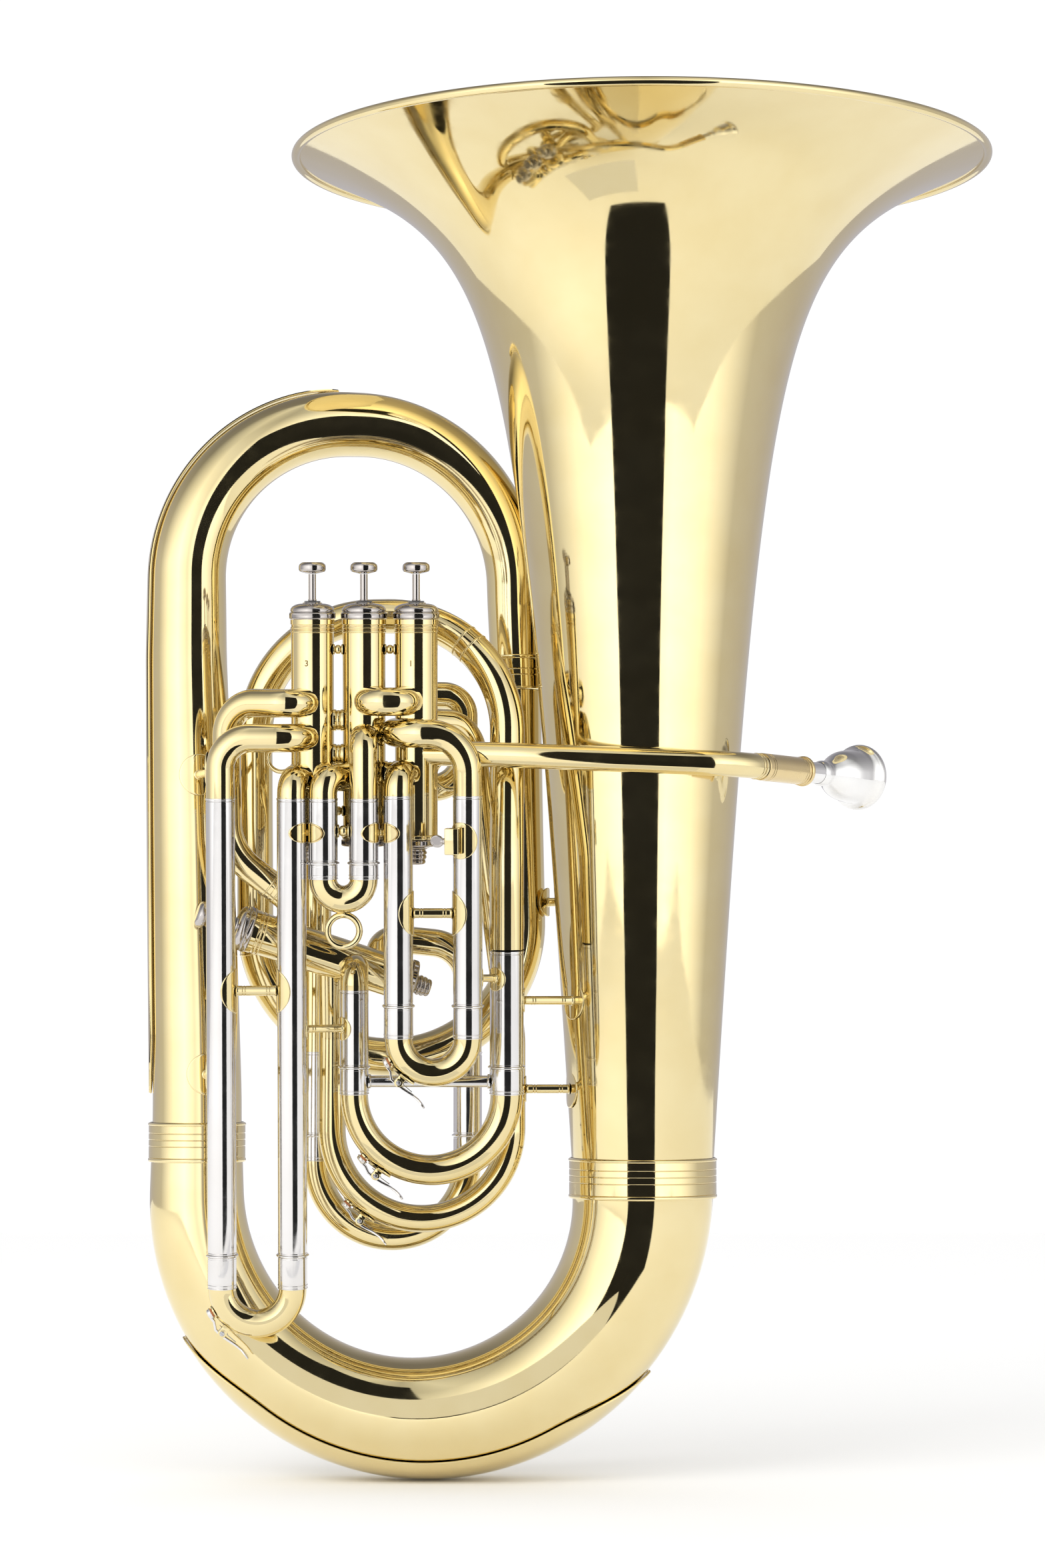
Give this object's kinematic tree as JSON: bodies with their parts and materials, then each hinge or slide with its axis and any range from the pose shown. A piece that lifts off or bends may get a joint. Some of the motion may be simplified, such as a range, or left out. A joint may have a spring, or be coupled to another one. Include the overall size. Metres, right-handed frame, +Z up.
{
  "type": "tuba",
  "caption": "Compensating E-flat tuba with front-action piston valves, a side-action fourth valve, tuning slides, water keys and a removable mouthpiece.",
  "frame": {"origin": "lowest point of the bottom bow, on the bow guard, midway between its two legs", "axes": "+Z up along the bell axis to the rim, +X from the outer branch to the bell, +Y away from the valve side"},
  "size_m": [0.5821, 0.4832, 0.9085],
  "materials": {
    "lacquered_brass": "clear lacquered, mirror polished",
    "nickel_plate": "bright nickel plate",
    "nickel_silver": "polished nickel silver",
    "silver_plate": "bright silver plate",
    "spring_steel": "plain wire"
  },
  "bodies": {
    "tuba_body": {"bell": "lacquered_brass", "bell_brace_lower": "lacquered_brass", "bell_brace_upper": "lacquered_brass", "bell_ferrule": "lacquered_brass", "bottom_bow": "lacquered_brass", "bottom_guard": "lacquered_brass", "compensating_loop": "lacquered_brass", "fourth_valve_branch": "lacquered_brass", "front_knuckle": "lacquered_brass", "inner_branch": "lacquered_brass", "leadpipe": "lacquered_brass", "left_ferrule": "lacquered_brass", "lyre_socket": "lacquered_brass", "main_slide_left_tube": "nickel_silver", "main_slide_right_tube": "nickel_silver", "mouthpiece_receiver": "lacquered_brass", "side_guard": "lacquered_brass", "slide_1_tubes": "nickel_silver", "slide_2_tubes": "nickel_silver", "slide_3_tubes": "nickel_silver", "slide_4_left_tube": "nickel_silver", "slide_4_right_tube": "nickel_silver", "top_bow": "lacquered_brass", "top_bow_ferrule": "lacquered_brass", "transfer_tube": "lacquered_brass", "valve_1_bottom_cap": "nickel_plate", "valve_1_casing": "lacquered_brass", "valve_1_spring": "spring_steel", "valve_1_top_cap": "nickel_plate", "valve_2_bottom_cap": "nickel_plate", "valve_2_casing": "lacquered_brass", "valve_2_spring": "spring_steel", "valve_2_top_cap": "nickel_plate", "valve_3_bottom_cap": "nickel_plate", "valve_3_casing": "lacquered_brass", "valve_3_spring": "spring_steel", "valve_3_top_cap": "nickel_plate", "valve_4_bottom_cap": "nickel_plate", "valve_4_casing": "lacquered_brass", "valve_4_spring": "spring_steel", "valve_4_top_cap": "nickel_plate"},
    "valve_1_action": {"valve_1_piston": "nickel_silver", "valve_1_button": "nickel_plate"},
    "valve_2_action": {"valve_2_piston": "nickel_silver", "valve_2_button": "nickel_plate"},
    "valve_3_action": {"valve_3_piston": "nickel_silver", "valve_3_button": "nickel_plate"},
    "valve_4_action": {"valve_4_piston": "nickel_silver", "valve_4_button": "nickel_plate"},
    "slide_1_body": {"slide_1": "lacquered_brass"},
    "slide_2_body": {"slide_2": "lacquered_brass"},
    "slide_3_body": {"slide_3": "lacquered_brass"},
    "main_slide_body": {"main_slide": "lacquered_brass"},
    "slide_4_body": {"slide_4": "lacquered_brass"},
    "slide_1_key_body": {"slide_1_water_key": "lacquered_brass"},
    "slide_3_key_body": {"slide_3_water_key": "lacquered_brass"},
    "main_slide_key_body": {"main_slide_water_key": "lacquered_brass"},
    "fourth_valve_branch_key_body": {"fourth_valve_branch_water_key": "lacquered_brass"},
    "lyre_screw_body": {"lyre_screw": "nickel_plate"},
    "mouthpiece_body": {"mouthpiece": "silver_plate"}
  },
  "joints": [
    {"name": "valve_1_press", "type": "slide", "parent": "tuba_body", "child": "valve_1_action", "axis": [0, 0.1045, -0.9945], "range_m": [0, 0.018], "stiffness_N_per_m": 260, "springref_m": -0.03, "deforming": ["valve_1_spring"]},
    {"name": "valve_2_press", "type": "slide", "parent": "tuba_body", "child": "valve_2_action", "axis": [0, 0.1045, -0.9945], "range_m": [0, 0.018], "stiffness_N_per_m": 260, "springref_m": -0.03, "deforming": ["valve_2_spring"]},
    {"name": "valve_3_press", "type": "slide", "parent": "tuba_body", "child": "valve_3_action", "axis": [0, 0.1045, -0.9945], "range_m": [0, 0.018], "stiffness_N_per_m": 260, "springref_m": -0.03, "deforming": ["valve_3_spring"]},
    {"name": "valve_4_press", "type": "slide", "parent": "tuba_body", "child": "valve_4_action", "axis": [0.9322, 0.1981, -0.303], "range_m": [0, 0.018], "stiffness_N_per_m": 260, "springref_m": -0.03, "deforming": ["valve_4_spring"]},
    {"name": "slide_1_pull", "type": "slide", "parent": "tuba_body", "child": "slide_1_body", "axis": [0, 0.1045, -0.9945], "range_m": [0, 0.08]},
    {"name": "slide_2_pull", "type": "slide", "parent": "tuba_body", "child": "slide_2_body", "axis": [0, 0.1045, -0.9945], "range_m": [0, 0.025]},
    {"name": "slide_3_pull", "type": "slide", "parent": "tuba_body", "child": "slide_3_body", "axis": [0, 0.1045, -0.9945], "range_m": [0, 0.09]},
    {"name": "main_slide_pull", "type": "slide", "parent": "tuba_body", "child": "main_slide_body", "axis": [0, 0.0837, -0.9965], "range_m": [0, 0.035]},
    {"name": "slide_4_pull", "type": "slide", "parent": "tuba_body", "child": "slide_4_body", "axis": [0, 0, -1], "range_m": [0, 0.035]},
    {"name": "slide_1_water_key_rock", "type": "hinge", "parent": "slide_1_body", "child": "slide_1_key_body", "pos_m": [-0.01244, -0.06939, 0.2705], "axis": [0, -0.9945, -0.1045], "range_deg": [0, 22], "stiffness_Nm_per_rad": 0.05, "springref_deg": -20.05},
    {"name": "slide_3_water_key_rock", "type": "hinge", "parent": "slide_3_body", "child": "slide_3_key_body", "pos_m": [-0.13023, -0.05184, 0.10349], "axis": [0, -0.9945, -0.1045], "range_deg": [0, 22], "stiffness_Nm_per_rad": 0.05, "springref_deg": -20.05},
    {"name": "main_slide_water_key_rock", "type": "hinge", "parent": "main_slide_body", "child": "main_slide_key_body", "pos_m": [-0.02879, -0.03791, 0.2075], "axis": [0, -0.9965, -0.0837], "range_deg": [0, 22], "stiffness_Nm_per_rad": 0.05, "springref_deg": -20.05},
    {"name": "fourth_valve_branch_water_key_rock", "type": "hinge", "parent": "tuba_body", "child": "fourth_valve_branch_key_body", "pos_m": [-0.04041, -0.015, 0.17587], "axis": [0, -1, 0], "range_deg": [0, 22], "stiffness_Nm_per_rad": 0.05, "springref_deg": -20.05},
    {"name": "lyre_screw_turn", "type": "hinge", "parent": "tuba_body", "child": "lyre_screw_body", "pos_m": [0.0218, -0.09994, 0.42961], "axis": [-1, 0, 0], "continuous": true},
    {"name": "mouthpiece_pull", "type": "slide", "parent": "tuba_body", "child": "mouthpiece_body", "axis": [0.6428, 0.7658, -0.02], "range_m": [0, 0.018]}
  ]
}
